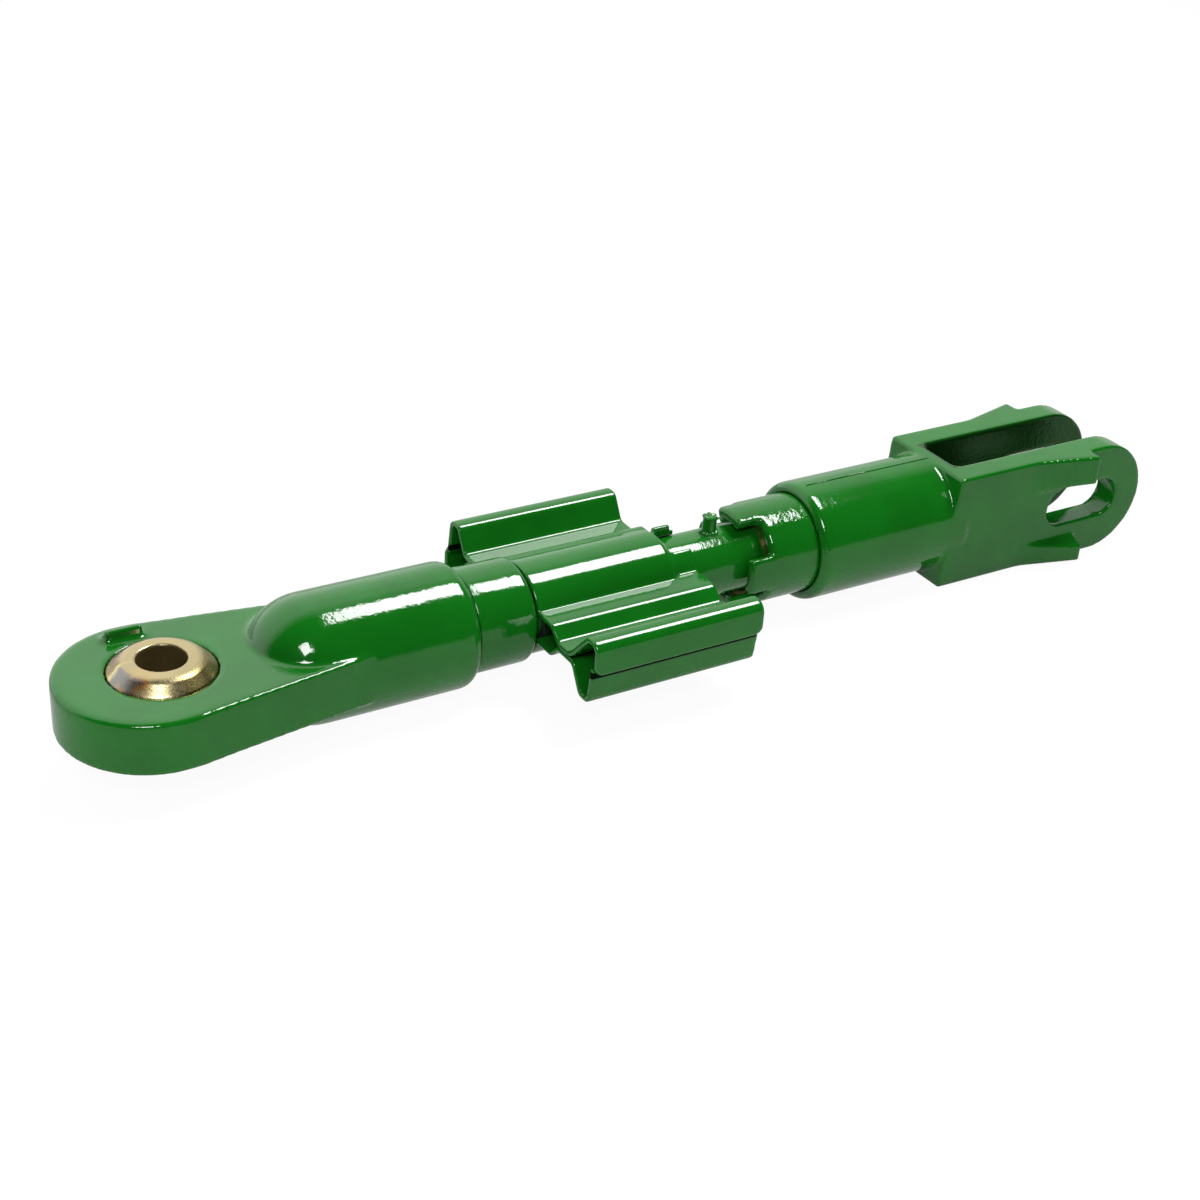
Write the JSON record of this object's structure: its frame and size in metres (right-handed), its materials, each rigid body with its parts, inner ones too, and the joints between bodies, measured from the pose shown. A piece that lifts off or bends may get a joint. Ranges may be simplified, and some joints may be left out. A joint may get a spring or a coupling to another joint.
{
  "type": "three-point lift link",
  "caption": "Adjustable tractor lift link: swivel-ball eye, two-winged pressed turning handle on a screw, and a slotted clevis fork, in green paint",
  "frame": {"origin": "centre of the swivel ball, on the axis of its bore", "axes": "+X along the link from the ball to the fork, +Z along the ball's bore, +Y across the link along the fork's pin"},
  "size_m": [0.6925, 0.172, 0.072],
  "materials": {
    "green_paint": "gloss",
    "yellow_zinc": "satin",
    "hard_steel": "satin",
    "plain_steel": "satin",
    "bush_bronze": "satin",
    "seal_rubber": "matte"
  },
  "bodies": {
    "eye_end": {"ball_end_forging": "green_paint", "race_ring_upper": "hard_steel", "race_ring_lower": "hard_steel", "race_retaining_ring": "hard_steel", "thread_collar": "green_paint", "wiper_seal": "seal_rubber"},
    "ball": {"swivel_ball": "yellow_zinc"},
    "fork_end": {"clevis_forging": "green_paint", "socket_collar": "green_paint", "bearing_bush": "bush_bronze"},
    "screw": {"adjusting_screw": "plain_steel", "stop_ring": "plain_steel", "stop_bolt": "plain_steel", "centre_tube": "green_paint", "drive_stud": "green_paint", "thrust_washers": "plain_steel", "castle_nut": "plain_steel", "split_pin": "plain_steel"},
    "handle": {"handle_upper_shell": "green_paint", "handle_lower_shell": "green_paint", "guide_bushes": "plain_steel"}
  },
  "joints": [
    {"name": "ball_turn", "type": "hinge", "parent": "eye_end", "child": "ball", "pos_m": [0, 0, 0], "axis": [0, 0, 1], "continuous": true},
    {"name": "length_slide", "type": "slide", "parent": "eye_end", "child": "fork_end", "axis": [1, 0, 0], "range_m": [0, 0.07]},
    {"name": "screw_turn", "type": "hinge", "parent": "fork_end", "child": "screw", "pos_m": [0.328, 0, 0], "axis": [1, 0, 0], "range_deg": [0, 5040]},
    {"name": "handle_slide", "type": "slide", "parent": "screw", "child": "handle", "axis": [1, 0, 0], "range_m": [0, 0.027]}
  ],
  "couplings": [
    {"joint": "screw_turn", "follows": "length_slide", "rad_per_m": 1256.6}
  ]
}
